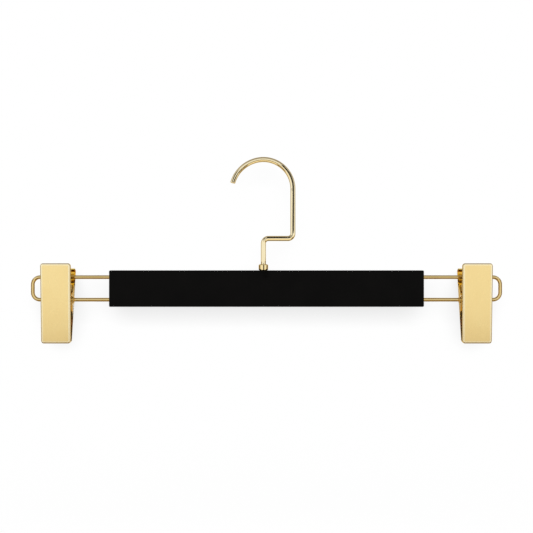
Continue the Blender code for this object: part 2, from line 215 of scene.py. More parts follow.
def add_node(tree, kind, inputs=None, **settings):
    node = tree.nodes.new(kind)
    for name, value in settings.items():
        setattr(node, name, value)
    for key, value in (inputs or {}).items():
        if isinstance(value, bpy.types.NodeSocket):
            tree.links.new(value, node.inputs[key])
        else:
            node.inputs[key].default_value = value
    return node


def noise(tree, place, grain, detail):
    """Noise whose cells are repeated grain times per metre along X, Y and Z."""
    stretched = add_node(tree, "ShaderNodeMapping", {"Vector": place, "Scale": grain})
    return add_node(
        tree, "ShaderNodeTexNoise", {"Vector": stretched.outputs[0], "Scale": 1.0, "Detail": detail}
    ).outputs[0]


def ranged(tree, value, low, high):
    """Noise spread over the range from low to high."""
    return add_node(
        tree,
        "ShaderNodeMapRange",
        {"Value": value, 1: noise_low, 2: noise_high, 3: low, 4: high},
    ).outputs[0]


def mix_colour(tree, share, first, second):
    """Either colour may be a plain one, given as its red, green and blue."""
    given = [c if isinstance(c, bpy.types.NodeSocket) else (*c, 1.0) for c in (first, second)]
    mixed = add_node(tree, "ShaderNodeMix", {0: share, 6: given[0], 7: given[1]}, data_type="RGBA")
    return mixed.outputs[2]


def near_edge(tree):
    """A share that rises from 0 to 1 where a face comes close to an edge."""
    plain = add_node(tree, "ShaderNodeNewGeometry").outputs["Normal"]
    eased = add_node(
        tree, "ShaderNodeBevel", {"Radius": edge_highlight_width}, samples=edge_highlight_samples
    ).outputs[0]
    alike = add_node(
        tree, "ShaderNodeVectorMath", {0: plain, 1: eased}, operation="DOT_PRODUCT"
    ).outputs["Value"]
    return add_node(
        tree, "ShaderNodeMapRange", {"Value": alike, 1: edge_highlight_start, 2: edge_highlight_full}
    ).outputs[0]


def finish(
    name, colour, shade, metallic, roughness, grain, relief, specular=0.5, worn=None, painted_edge_highlight=None
):
    """A finish: a colour that drifts towards its shade, a roughness that varies and a fine relief.

    roughness is its lowest and highest value, grain the relief's cells per metre, relief its
    height in metres, worn the colour that shows in patches along the convex edges, and
    painted_edge_highlight the colour of a painted highlight in a narrow band along all edges.
    """
    made = bpy.data.materials.new(name)
    made.use_nodes = True
    tree = made.node_tree
    shader = tree.nodes["Principled BSDF"]
    place = add_node(tree, "ShaderNodeTexCoord").outputs["Object"]
    drift = ranged(tree, noise(tree, place, tone_grain, tone_detail), 0.0, 1.0)
    tone = mix_colour(tree, drift, colour, shade)
    surface = noise(tree, place, grain, surface_detail)
    rough = ranged(tree, surface, *roughness)
    if worn:
        bent = add_node(tree, "ShaderNodeNewGeometry").outputs["Pointiness"]
        edge = add_node(
            tree, "ShaderNodeMapRange", {"Value": bent, 1: worn_start, 2: worn_full}
        ).outputs[0]
        patch = ranged(tree, noise(tree, place, patch_grain, tone_detail), 0.0, 1.0)
        rubbed = add_node(
            tree, "ShaderNodeMath", {0: edge, 1: patch}, operation="MULTIPLY"
        ).outputs[0]
        tone = mix_colour(tree, rubbed, tone, worn)
        rough = add_node(
            tree, "ShaderNodeMapRange", {"Value": rubbed, 3: rough, 4: roughness[1]}
        ).outputs[0]
    # A painted highlight: a pale band along all edges, where the bevelled normal departs from the
    # face's.
    if painted_edge_highlight:
        tone = mix_colour(tree, near_edge(tree), tone, painted_edge_highlight)
    tree.links.new(tone, shader.inputs["Base Color"])
    tree.links.new(rough, shader.inputs["Roughness"])
    bump = add_node(
        tree, "ShaderNodeBump", {"Height": surface, "Distance": relief, "Strength": 1.0}
    )
    tree.links.new(bump.outputs[0], shader.inputs["Normal"])
    shader.inputs["Metallic"].default_value = metallic
    shader.inputs["Specular IOR Level"].default_value = specular
    return made


# Paler, cream copy of the gold plating: painted highlight, its colour that of the hook's highlights
# rather than of the metal.
hook_gold_painted_highlight = finish(
    "hook_plating_painted_highlight",
    (0.93, 0.82, 0.55),
    (0.90, 0.78, 0.50),
    1.0,
    (0.07, 0.11),
    (900, 900, 900),
    0.000001,
)
polished_gold = finish(
    "polished_gold_plating",
    (0.88, 0.69, 0.32),
    (0.84, 0.64, 0.27),
    1.0,
    (0.08, 0.13),
    (900, 900, 900),
    0.0000015,
)
# Paler than the plating's own gold, partly painted highlight: its colour sits between the collar's
# cream highlights and its darks.
collar_gold_partly_painted_highlight = finish(
    "collar_plating_partly_painted_highlight",
    (0.92, 0.76, 0.42),
    (0.88, 0.71, 0.36),
    1.0,
    (0.03, 0.05),
    (900, 900, 900),
    0.0000005,
)
# Darker, greyer gold on the plates' bends: painted shade that draws a dark outline round the plates.
rim_gold_painted_dark_edge = finish(
    "rim_plating_painted_dark_edge",
    (0.78, 0.66, 0.41),
    (0.74, 0.61, 0.36),
    1.0,
    (0.08, 0.13),
    (900, 900, 900),
    0.0000015,
)
# Darker copy of the same gold plating: painted shade for the darker reflections on the side wires.
side_wire_gold_painted_shade = finish(
    "side_wire_plating_painted_shade",
    (0.75, 0.59, 0.29),
    (0.68, 0.52, 0.23),
    1.0,
    (0.10, 0.16),
    (900, 900, 900),
    0.0000015,
)
# Deeper, more orange gold than the plating's own: painted reflection of the light that bounces
# between the gold faces inside the clips.
inner_gold_painted_reflection = finish(
    "inner_face_plating_painted_reflection",
    (0.92, 0.67, 0.17),
    (0.88, 0.61, 0.12),
    1.0,
    (0.10, 0.16),
    (1500, 1500, 1500),
    0.000002,
)
# The plates' satin face, with a painted highlight band along its edges.
satin_gold = finish(
    "satin_gold_plating",
    (0.94, 0.75, 0.36),
    (0.92, 0.72, 0.335),
    1.0,
    (0.27, 0.33),
    (2600, 2600, 700),
    0.0000015,
    painted_edge_highlight=(0.99, 0.94, 0.70),
)
spring_gold = finish(
    "plated_spring_wire",
    (0.80, 0.61, 0.28),
    (0.72, 0.54, 0.24),
    1.0,
    (0.18, 0.26),
    (1200, 1200, 1200),
    0.000002,
)
lacquer = finish(
    "black_satin_lacquer",
    (0.0022, 0.0021, 0.0021),
    (0.0029, 0.0027, 0.0026),
    0.0,
    (0.38, 0.50),
    (90, 900, 900),
    0.000006,
    specular=0.03,
    worn=(0.012, 0.009, 0.007),
)
rubber = finish(
    "matt_grip_rubber",
    (0.045, 0.038, 0.032),
    (0.060, 0.050, 0.042),
    0.0,
    (0.70, 0.85),
    (3000, 3000, 3000),
    0.00001,
    specular=0.3,
)


# Shapes


def add_object(name, mesh, looks):
    for look in looks:
        mesh.materials.append(look)
    made = bpy.data.objects.new(name, mesh)
    scene.collection.objects.link(made)
    return made


def baked(made):
    """The mesh of an object with its modifiers, or of a curve; the object and its cutters go."""
    bpy.context.view_layer.update()
    evaluated = made.evaluated_get(bpy.context.evaluated_depsgraph_get())
    mesh = bpy.data.meshes.new_from_object(evaluated)
    mesh.transform(made.matrix_world)
    work = bmesh.new()
    work.from_mesh(mesh)
    bmesh.ops.remove_doubles(work, verts=work.verts, dist=same_place)
    bmesh.ops.recalc_face_normals(work, faces=work.faces)
    work.to_mesh(mesh)
    work.free()
    for used in [m.object for m in made.modifiers if m.type == "BOOLEAN"] + [made]:
        bpy.data.objects.remove(used, do_unlink=True)
    return mesh


def smooth(mesh):
    mesh.shade_smooth()
    mesh.set_sharp_from_angle(angle=sharp_angle)
    return mesh


def combine(made, other, operation):
    boolean = made.modifiers.new(other.name, "BOOLEAN")
    boolean.operation = operation
    boolean.solver = "EXACT"
    boolean.object = other
    other.hide_render = True


def arc(centre, radius, start, end, count):
    """Points on an arc in a plane, as pairs, both ends included."""
    found = []
    for i in range(count):
        angle = start + (end - start) * i / (count - 1)
        found.append((centre[0] + radius * math.cos(angle), centre[1] + radius * math.sin(angle)))
    return found


def fillet(before, corner, after, radius, count=corner_points):
    """Points of the arc that rounds a corner of an outline."""
    before = Vector(before)
    corner = Vector(corner)
    after = Vector(after)
    first = (before - corner).normalized()
    last = (after - corner).normalized()
    half = first.angle(last) / 2
    centre = corner + (first + last).normalized() * radius / math.sin(half)
    start = corner + first * radius / math.tan(half) - centre
    end = corner + last * radius / math.tan(half) - centre
    sweep = start.angle_signed(end)
    found = []
    for i in range(count):
        turned_start = start.copy()
        turned_start.rotate(Matrix.Rotation(-sweep * i / (count - 1), 2))
        found.append(tuple(centre + turned_start))
    return found


def loft(name, rings, joined):
    """The mesh over rings of points, its ends capped, or joined end to start."""
    count = len(rings[0])
    points = [tuple(point) for section in rings for point in section]
    faces = []
    for i in range(len(rings) if joined else len(rings) - 1):
        here = i * count
        there = (i + 1) % len(rings) * count
        for k in range(count):
            after = (k + 1) % count
            faces.append((here + k, here + after, there + after, there + k))
    if not joined:
        faces.append(tuple(reversed(range(count))))
        faces.append(tuple(range(len(points) - count, len(points))))
    mesh = bpy.data.meshes.new(name)
    mesh.from_pydata(points, [], faces)
    work = bmesh.new()
    work.from_mesh(mesh)
    bmesh.ops.recalc_face_normals(work, faces=work.faces)
    work.to_mesh(mesh)
    work.free()
    return smooth(mesh)


def ring(centre, along, radius):
    """A circle round a point of the plane y = 0, square to the direction along."""
    across = Vector((-along.z, 0.0, along.x))
    found = []
    for i in range(wire_sides):
        angle = full_turn * i / wire_sides
        back = Vector((0, radius * math.sin(angle), 0))
        found.append(centre + across * radius * math.cos(angle) + back)
    return found


def wire_rings(outline, radius):
    """Rings of a round wire along a path of (x, z) points."""
    points = [Vector((x, 0.0, z)) for x, z in outline]
    found = []
    for i, point in enumerate(points):
        along = points[min(i + 1, len(points) - 1)] - points[max(i - 1, 0)]
        found.append(ring(point, along.normalized(), radius))
    return found


def turned(name, profile, edge_round, axis):
    """A solid of revolution: (radius, height) pairs of a closed profile, its corners rounded."""
    outline = []
    for i, corner in enumerate(profile):
        after = profile[(i + 1) % len(profile)]
        outline += fillet(profile[i - 1], corner, after, edge_round, turned_corner_points)
    rings = []
    for i in range(round_steps):
        angle = full_turn * i / round_steps
        if axis == "Z":
            rings.append([(r * math.cos(angle), r * math.sin(angle), h) for r, h in outline])
        else:
            rings.append([(h, r * math.cos(angle), r * math.sin(angle)) for r, h in outline])
    return loft(name, rings, True)


def flat_plate(name, outlines, thickness, place):
    """A sheet of the given thickness: the first outline is its edge and the others are holes."""
    curve = bpy.data.curves.new(name, "CURVE")
    curve.dimensions = "2D"
    curve.fill_mode = "BOTH"
    curve.extrude = thickness / 2
    for outline in outlines:
        spline = curve.splines.new("POLY")
        spline.points.add(len(outline) - 1)
        spline.use_cyclic_u = True
        for point, (across, up) in zip(spline.points, outline):
            point.co = (across, up, 0.0, 1.0)
    made = bpy.data.objects.new(name, curve)
    made.matrix_world = place
    scene.collection.objects.link(made)
    return add_object(name, baked(made), [])


def drill(made, name, radius, start, end):
    """Cuts a round hole between two points."""
    start = Vector(start)
    end = Vector(end)
    turn = (end - start).to_track_quat("Z", "Y").to_matrix().to_4x4()
    work = bmesh.new()
    bmesh.ops.create_cone(
        work,
        cap_ends=True,
        segments=round_steps,
        radius1=radius,
        radius2=radius,
        depth=(end - start).length,
        matrix=Matrix.Translation((start + end) / 2) @ turn,
    )
    mesh = bpy.data.meshes.new(name)
    work.to_mesh(mesh)
    work.free()
    combine(made, add_object(name, mesh, []), "DIFFERENCE")


def dress(name, mesh, looks, body, node=None, place=None):
    """A finished piece that rides on a body and stands for a node."""
    if place:
        mesh.transform(place)
    made = add_object(name, mesh, looks)
    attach(made, body)
    if node:
        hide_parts(node)
    return made


def soften(made):
    """Rounds a piece's cut edges a little and keeps its flat faces flat in shading."""
    bevel = made.modifiers.new("cut_edges", "BEVEL")
    bevel.width = cut_edge_round
    bevel.segments = cut_edge_segments
    bevel.limit_method = "ANGLE"
    bevel.angle_limit = cut_edge_angle
    bevel.use_clamp_overlap = True
    even = made.modifiers.new("even_shading", "WEIGHTED_NORMAL")
    even.keep_sharp = False


def build_hook():
    eye = (0.0, hook_wire_radius - hook_bend_radius)
    step = -hook_step_height
    bend = hook_step_radius
    head_top = bar_bottom + recess_depth - washer_thickness - 2 * fit_gap
    head_bottom = head_top - hook_head_height
    up = Vector((0.0, 0.0, 1.0))
    rings = []
    round_centre = (hook_head_radius - hook_head_round, head_bottom + hook_head_round)
    for radius, height in arc(round_centre, hook_head_round, -quarter_turn, 0.0, corner_points):
        rings.append(ring(Vector((0.0, 0.0, height)), up, radius))
    rings.append(ring(Vector((0.0, 0.0, head_top)), up, hook_head_radius))
    rings.append(ring(Vector((0.0, 0.0, head_top)), up, hook_wire_radius))
    outline = arc((bend, step - bend), bend, 2 * quarter_turn, quarter_turn, bend_points)
    outline += arc((hook_bend_radius - bend, step + bend), bend, -quarter_turn, 0.0, bend_points)
    outline += arc(eye, hook_bend_radius, 0.0, hook_tip_bend_start, hook_bend_points)
    growth = hook_bend_radius - hook_tip_bend_radius
    tip_eye = (
        eye[0] + growth * math.cos(hook_tip_bend_start),
        eye[1] + growth * math.sin(hook_tip_bend_start),
    )
    outline += arc(
        tip_eye, hook_tip_bend_radius, hook_tip_bend_start, hook_tip_angle, hook_tip_points
    )[1:]
    wire = wire_rings(outline, hook_wire_radius)
    along = Vector((-math.sin(hook_tip_angle), 0.0, math.cos(hook_tip_angle)))
    end = Vector((outline[-1][0], 0.0, outline[-1][1]))
    wire.pop()
    full = hook_wire_radius - hook_tip_round
    for lift, shrink in arc((0.0, 0.0), hook_tip_round, quarter_turn, 0.0, corner_points):
        wire.append(ring(end + along * (lift - hook_tip_round), along, full + shrink))
    mesh = loft("hook", rings + wire, False)
    dress("hook_bent_wire", mesh, [hook_gold_painted_highlight], "hook", "hook")


def build_collar():
    bottom = bar_top + fit_gap
    top = bar_top + collar_height
    profile = [
        (shank_hole_radius, top),
        (collar_radius - collar_shoulder, top),
        (collar_radius, top - collar_shoulder),
        (collar_radius, bottom),
        (collar_spigot_radius, bottom),
        (collar_spigot_radius, bar_top - collar_spigot_length),
        (shank_hole_radius, bar_top - collar_spigot_length),
    ]
    mesh = turned("collar", profile, turned_edge_round, "Z")
    dress("collar_turned", mesh, [collar_gold_partly_painted_highlight], "bar", "hook_collar")


def build_washer():
    top = bar_bottom + recess_depth - fit_gap
    profile = [
        (shank_hole_radius, top),
        (washer_radius, top),
        (washer_radius, top - washer_thickness),
        (shank_hole_radius, top - washer_thickness),
    ]
    mesh = turned("washer", profile, turned_edge_round, "Z")
    dress("washer_stamped", mesh, [polished_gold], "bar", "hook_washer")


def build_bar():
    half = bar_length / 2
    low = Vector((bar_centre_offset - half, -bar_depth / 2, bar_bottom))
    high = Vector((bar_centre_offset + half, bar_depth / 2, bar_top))
    work = bmesh.new()
    bmesh.ops.create_cube(work, size=1.0)
    for vertex in work.verts:
        vertex.co = Vector(low[i] + (vertex.co[i] + 0.5) * (high[i] - low[i]) for i in range(3))
    round_edges(work, work.edges[:], bar_edge_radius, edge_segments)
    mesh = bpy.data.meshes.new("bar")
    work.to_mesh(mesh)
    work.free()
    bar = add_object("bar_blank", mesh, [])
    drill(
        bar,
        "shank_bore",
        shank_hole_radius,
        (0, 0, bar_bottom - overlap),
        (0, 0, bar_top + overlap),
    )
    drill(
        bar,
        "spigot_bore",
        collar_spigot_radius + fit_gap,
        (0, 0, bar_top - collar_spigot_length - fit_gap),
        (0, 0, bar_top + overlap),
    )
    drill(
        bar,
        "recess_bore",
        recess_radius,
        (0, 0, bar_bottom - overlap),
        (0, 0, bar_bottom + recess_depth),
    )
    for side in (-1, 1):
        outside = bar_centre_offset + side * (half + overlap)
        inside = bar_centre_offset + side * (half - loop_hole_depth)
        for height in (upper_wire_z, lower_wire_z):
            drill(bar, "wire_bore", tube_bore_radius, (outside, 0, height), (inside, 0, height))
    made = dress("bar_lacquered", smooth(baked(bar)), [lacquer], "bar", "bar")
    soften(made)


def build_loop(label, side):
    inner = bar_length / 2 - loop_hole_depth + fit_gap
    outer = loop_half_span - loop_wire_radius
    bend = loop_bend_radius
    outline = [(inner, upper_wire_z)]
    outline += arc((outer - bend, upper_wire_z - bend), bend, quarter_turn, 0.0, bend_points)
    outline += arc((outer - bend, lower_wire_z + bend), bend, 0.0, -quarter_turn, bend_points)
    outline.append((inner, lower_wire_z))
    path = [(bar_centre_offset + side * x, z) for x, z in outline]
    mesh = loft("loop", wire_rings(path, loop_wire_radius), False)
    dress(
        f"{label}_loop_bent_wire",
        mesh,
        [side_wire_gold_painted_shade],
        "bar",
        f"{label}_wire_loop",
    )


def clip_frame(side, lean):
    """A clip's own frame: the pivot axis along X at its origin, Z up along the leaning plate."""
    centre = (bar_centre_offset + side * clip_place, 0.0, lower_wire_z)
    return Matrix.Translation(centre) @ Matrix.Rotation(lean, 4, "X")


def round_edges(work, edges, radius, segments):
    bmesh.ops.bevel(
        work,
        geom=edges,
        offset=radius,
        segments=segments,
        profile=0.5,
        affect="EDGES",
    )
    work.normal_update()


def runs_along(edge, axis):
    """Whether an edge runs along X, Y or Z, given as 0, 1 or 2."""
    return abs((edge.verts[1].co - edge.verts[0].co).normalized()[axis]) > math.cos(slant)


def deepen_lip(work, lip_edge, start):
    """Lets the two side rims run deeper from the given height up to the top edge."""
    sides = [edge for edge in work.edges if edge.is_boundary and runs_along(edge, 2)]
    sides.sort(key=lambda edge: edge.calc_length())
    for edge in sides[-2:]:
        upper = max(edge.verts, key=lambda vertex: vertex.co.z)
        share = (upper.co.z - start) / edge.calc_length()
        bmesh.utils.edge_split(edge, upper, share)
        upper.co.y = lip_edge


def tray(name, reach, facing, top, bottom, half_top, half_bottom, rolled):
    """A pressed plate with a rim turned in all round. A rolled one has its top turned deeper."""
    outside = facing * reach
    inside = facing * (reach - rim_depth)
    work = bmesh.new()
    bmesh.ops.create_cube(work, size=2.0)
    for vertex in work.verts:
        x, y, z = vertex.co
        half = half_top if z > 0 else half_bottom
        vertex.co = (x * half, outside if y * facing > 0 else inside, top if z > 0 else bottom)
    back = [face for face in work.faces if face.normal.y * facing < -math.cos(slant)]
    bmesh.ops.delete(work, geom=back, context="FACES_ONLY")
    corners = [edge for edge in work.edges if runs_along(edge, 1)]
    if rolled:
        corners = [edge for edge in corners if edge.verts[0].co.z < 0]
    round_edges(work, corners, plate_corner_radius, edge_segments)
    if rolled:
        deepen_lip(work, facing * (reach - lip_depth), top - lip_height)
        fold = [
            edge
            for edge in work.edges
            if all(vertex.co.z > top - same_place for vertex in edge.verts)
            and all(abs(vertex.co.y - outside) < same_place for vertex in edge.verts)
        ]
        round_edges(work, fold, lip_round, lip_segments)
    rim = set()
    for face in work.faces:
        x, y, z = face.normal
        turned_in = abs(y) < math.sin(slant)
        if turned_in and (not rolled or abs(x) > math.sin(slant) or z < 0):
            rim.add(face)
    bends = []
    for edge in work.edges:
        if not edge.is_boundary and len(rim.intersection(edge.link_faces)) == 1:
            bends.append(edge)
    round_edges(work, bends, plate_edge_radius, edge_segments)
    bmesh.ops.recalc_face_normals(work, faces=work.faces)
    plate = max(work.faces, key=lambda face: face.calc_area())
    if plate.normal.y * facing < 0:
        bmesh.ops.reverse_faces(work, faces=work.faces)
    mesh = bpy.data.meshes.new(name)
    work.to_mesh(mesh)
    work.free()
    made = add_object(name, mesh, [])
    shell = made.modifiers.new("sheet", "SOLIDIFY")
    shell.thickness = sheet
    shell.offset = -1.0
    shell.use_even_offset = True
    return made


def ear_outline(base_y, nose_radius, half_base, root_y):
    """An ear seen from the side, as (y, z) pairs: curved roots, straight edges and a round nose."""
    base = Vector((base_y, half_base))
    away = math.atan2(base.y, base.x)
    spread = math.acos(nose_radius / base.length)
    top_angle = away + math.copysign(spread, base_y)
    bottom_angle = -top_angle
    if base_y > 0:
        bottom_angle += full_turn
    nose = arc((0.0, 0.0), nose_radius, top_angle, bottom_angle, nose_points)
    above = (base_y, half_base + ear_root_radius)
    upper_root = fillet(above, (base_y, half_base), nose[0], ear_root_radius)
    lower_root = [(y, -z) for y, z in reversed(upper_root)]
    first = (root_y, upper_root[0][1])
    last = (root_y, lower_root[-1][1])
    return [first] + upper_root + nose + lower_root + [last]


def circle(radius):
    last = full_turn * (1 - 1 / round_steps)
    return arc((0.0, 0.0), radius, 0.0, last, round_steps)


def bent_strip(path, thickness):
    """Outline of a sheet that follows the middle points of a path, with mitred corners."""
    points = [Vector(point) for point in path]
    left = []
    right = []
    for i, point in enumerate(points):
        before = (point - points[i - 1]).normalized() if i else None
        after = (points[i + 1] - point).normalized() if i + 1 < len(points) else None
        along = ((before or after) + (after or before)).normalized()
        across = Vector((-along.y, along.x))
        reach = thickness / 2 / (along.dot(before or after))
        left.append(tuple(point + across * reach))
        right.append(tuple(point - across * reach))
    return left + list(reversed(right))


def build_ear(outer, outline):
    """A flat ear whose outer face stands at the given distance from the clip's middle."""
    middle = math.copysign(abs(outer) - sheet / 2, outer)
    place = Matrix.Translation((middle, 0.0, 0.0)) @ side_plane
    return flat_plate("ear", [outline, circle(ear_hole_radius)], sheet, place)


def part_finishes(mesh, outside):
    """The outer face takes the first finish, its bends the third, a painted dark edge, and the inner
    faces the fourth, a painted reflection.
    """
    for face in mesh.polygons:
        depth = abs(face.center.y - outside)
        level = abs(face.normal.y) > math.cos(slant / 4)
        if level and depth < cut_edge_round:
            face.material_index = 0
        elif face.normal.y * outside < -abs(outside) * math.sin(slant):
            face.material_index = 3
        elif face.normal.y * outside > 0 and depth < lip_round:
            face.material_index = 2
        else:
            face.material_index = 1


def front_jaw_mesh():
    jaw = tray(
        "front_jaw",
        front_reach,
        -1,
        front_top,
        front_bottom,
        front_half_width_top,
        front_half_width_bottom,
        False,
    )
    rim_edge = rim_depth - front_reach
    ear_start = rim_edge + front_ear_step
    outline = ear_outline(ear_start, front_ear_radius, front_ear_half_base, ear_start - overlap / 2)
    half_length = outline[0][1]
    rim_middle = front_half_width_bottom - sheet / 2
    ear_middle = front_ear_outer - sheet / 2
    step = [
        (rim_middle, rim_edge - overlap),
        (rim_middle, rim_edge),
        (ear_middle, ear_start - overlap / 2),
        (ear_middle, ear_start + overlap / 2),
    ]
    for side in (-1, 1):
        combine(jaw, build_ear(side * front_ear_outer, outline), "UNION")
        across = bent_strip([(side * x, y) for x, y in step], sheet)
        combine(jaw, flat_plate("ear_step", [across], 2 * half_length, Matrix.Identity(4)), "UNION")
    mesh = smooth(baked(jaw))
    part_finishes(mesh, -front_reach)
    return mesh


def rear_jaw_mesh():
    jaw = tray(
        "rear_jaw",
        rear_reach,
        1,
        rear_top,
        rear_bottom,
        rear_half_width,
        rear_half_width,
        True,
    )
    rim_edge = rear_reach - rim_depth
    outline = ear_outline(rim_edge, rear_ear_radius, rear_ear_half_base, rim_edge + overlap)
    for side in (-1, 1):
        combine(jaw, build_ear(side * rear_half_width, outline), "UNION")
    mesh = smooth(baked(jaw))
    part_finishes(mesh, rear_reach)
    return mesh


def tube_mesh():
    half = tube_half_length
    inner = half - tube_head_thickness
    profile = [
        (tube_bore_radius, half),
        (tube_head_radius, half),
        (tube_head_radius, inner),
        (tube_radius, inner),
        (tube_radius, -inner),
        (tube_head_radius, -inner),
        (tube_head_radius, -half),
        (tube_bore_radius, -half),
    ]
    return turned("pivot_tube", profile, turned_edge_round, "X")


def pad_mesh(reach, facing, bottom, half_width):
    back = facing * (reach - sheet - fit_gap / 2)
    face = back - facing * pad_thickness
    groove = face + facing * pad_groove_depth
    slope = (pad_rib_pitch - pad_rib_width - pad_groove_width) / 2
    low = bottom + sheet + pad_margin
    outline = [(back, low), (face, low)]
    for i in range(pad_grooves):
        start = low + pad_rib_pitch * i + pad_rib_width
        outline.append((face, start))
        outline.append((groove, start + slope))
        outline.append((groove, start + slope + pad_groove_width))
        outline.append((face, start + 2 * slope + pad_groove_width))
    outline += [(face, low + pad_height), (back, low + pad_height)]
    width = 2 * (half_width - sheet - pad_margin)
    pad = flat_plate("pad", [outline], width, side_plane)
    return smooth(baked(pad))


def spring_half():
    """Half of the spring's centreline in the clip's frame: its rear leg, its coil and its bail."""
    radius = spring_coil_radius
    bail_y = fit_gap + spring_wire_radius + sheet - front_reach
    bail = Matrix.Rotation(front_lean, 2) @ Vector((bail_y, spring_front_leg))
    start = quarter_turn - rear_lean
    end = full_turn * (spring_full_turns + 1) - math.atan2(-bail.x, bail.y)
    end -= math.acos(radius / bail.length)
    steps = round((end - start) / full_turn * spring_points_per_turn)
    outer = front_ear_outer - sheet - fit_gap - spring_wire_radius
    inner = outer - (end - start) / full_turn * spring_pitch
    coil = []
    for i in range(steps + 1):
        angle = start + (end - start) * i / steps
        x = outer + (inner - outer) * i / steps
        coil.append(Vector((x, radius * math.sin(angle), radius * math.cos(angle))))
    way = Vector((0.0, -math.sin(rear_lean), math.cos(rear_lean))) * spring_rear_leg
    leg = [coil[0] + way * (1 - i / spring_leg_points) for i in range(spring_leg_points + 1)]
    top = Vector((inner, bail.x, bail.y))
    rise = (top - coil[-1]).normalized()
    last = top - rise * spring_bail_bend
    front = [coil[-1].lerp(last, i / spring_leg_points) for i in range(spring_leg_points)]
    for across, along in arc((0.0, 0.0), spring_bail_bend, 0.0, quarter_turn, corner_points):
        inset = Vector((across - spring_bail_bend, 0.0, 0.0))
        front.append(top + inset + rise * (along - spring_bail_bend))
    return leg, coil, front


def mirrored(points):
    return [Vector((-point.x, point.y, point.z)) for point in reversed(points)]


def spring_mesh(name, runs):
    """Round wire along each of the runs of points."""
    curve = bpy.data.curves.new(name, "CURVE")
    curve.dimensions = "3D"
    curve.bevel_depth = spring_wire_radius
    curve.bevel_resolution = spring_wire_resolution
    curve.use_fill_caps = True
    curve.twist_mode = "MINIMUM"
    for points in runs:
        spline = curve.splines.new("POLY")
        spline.points.add(len(points) - 1)
        for point, place in zip(spline.points, points):
            point.co = (*place, 1.0)
    made = bpy.data.objects.new(name, curve)
    scene.collection.objects.link(made)
    return smooth(baked(made))


def build_springs():
    leg, coil, front = spring_half()
    coils = spring_mesh("spring_coils", [coil, mirrored(coil)])
    legs = spring_mesh("spring_legs", [leg, mirrored(leg)])
    bail = spring_mesh("spring_bail", [front + mirrored(front)])
    for label, side in sides:
        place = clip_frame(side, 0.0)
        body = f"{label}_clip"
        dress(
            f"{label}_spring_coils",
            coils.copy(),
            [spring_gold],
            body,
            f"{label}_clip_spring",
            place,
        )
        bends = (
            ("rear_legs", legs, f"{body}_rear", leg[-1], leg[0]),
            ("front_bail", bail, f"{body}_front", front[0], front[spring_leg_points]),
        )
        for piece, mesh, jaw, start, end in bends:
            made = add_object(f"{label}_spring_{piece}", mesh.copy(), [spring_gold])
            made.matrix_world = place
            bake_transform(made)


def build_clips():
    front_jaw = front_jaw_mesh()
    rear_jaw = rear_jaw_mesh()
    tube = tube_mesh()
    front_pad = pad_mesh(front_reach, -1, front_bottom, front_half_width_bottom)
    rear_pad = pad_mesh(rear_reach, 1, rear_bottom, rear_half_width)
    for label, side in sides:
        upright = clip_frame(side, 0.0)
        front = clip_frame(side, front_lean)
        rear = clip_frame(side, rear_lean)
        clip = f"{label}_clip"
        jaws = (
            ("front_jaw", front_jaw, front, f"{clip}_front"),
            ("rear_jaw", rear_jaw, rear, f"{clip}_rear"),
        )
        for piece, mesh, place, body in jaws:
            # Of the jaws' finishes, the third is a painted dark edge and the fourth a painted
            # reflection.
            made = dress(
                f"{label}_{piece}_pressed",
                mesh.copy(),
                [satin_gold, polished_gold, rim_gold_painted_dark_edge, inner_gold_painted_reflection],
                body,
                f"{clip}_{piece}",
                place,
            )
            soften(made)
        pads = (
            ("front_pad", front_pad, front, f"{clip}_front"),
            ("rear_pad", rear_pad, rear, f"{clip}_rear"),
        )
        for piece, mesh, place, body in pads:
            dress(
                f"{label}_{piece}_ribbed",
                mesh.copy(),
                [rubber],
                body,
                f"{clip}_{piece}",
                place,
            )
        dress(
            f"{label}_pivot_rolled",
            tube.copy(),
            [polished_gold],
            clip,
            f"{clip}_pivot_tube",
            upright,
        )
    build_springs()


build_hook()
build_collar()
build_washer()
build_bar()
for label, side in sides:
    build_loop(label, side)
build_clips()


# Studio

wall_y = 0.0125
floor_z = -0.36
ambient = 0.20
sun_strength = 0.70
sun_size = math.radians(28)
sun_rise = math.radians(35)
sun_turns = [math.radians(turn) for turn in (-50, -25, 0, 25, 50)]
wall_shade = 0.76
wall_shade_reach = 0.023
wall_shade_samples = 16
wall_shade_towards = (0.0, -0.55, 0.83)
wall_closed_share = 0.35
wall_open_share = 0.90
stage_reach = 4.0
matt_roughness = 0.9
shadow_share = 0.10
backdrop_glow = 1.02
floor_colour = (0.97, 0.97, 0.97)
card_colour = (0.03, 0.028, 0.025)
dim_colour = (0.12, 0.11, 0.10)
grey_colour = (0.36, 0.34, 0.31)
amber_colour = (0.58, 0.45, 0.24)
brown_colour = (0.42, 0.30, 0.15)
sky_colour = (1.0, 1.0, 1.0)
zenith_colour = (0.36, 0.34, 0.31)
ground_colour = (1.0, 0.86, 0.60)
nadir_colour = (0.75, 0.60, 0.36)
dusk_colour = (0.36, 0.275, 0.135)

# Where the room's colours start and are full, as the height or the depth of a direction
zenith_band = (0.35, 0.90)
ground_band = (-0.05, -0.60)
nadir_band = (-0.90, -1.0)
dusk_near_band = (0.0, 0.28)
dusk_far_band = (0.82, 0.66)

# Camera
sensor_width = 36.0
picture_pixels = 533
focal_pixels = 755
camera_place = (0.0025, -0.6092, -0.0842)


def stage_plane(name, corners, look):
    """A flat piece of the studio, which is no part of the object."""
    mesh = bpy.data.meshes.new(name)
    mesh.from_pydata(corners, [], [(0, 1, 2, 3)])
    made = add_object(name, mesh, [look])
    return made


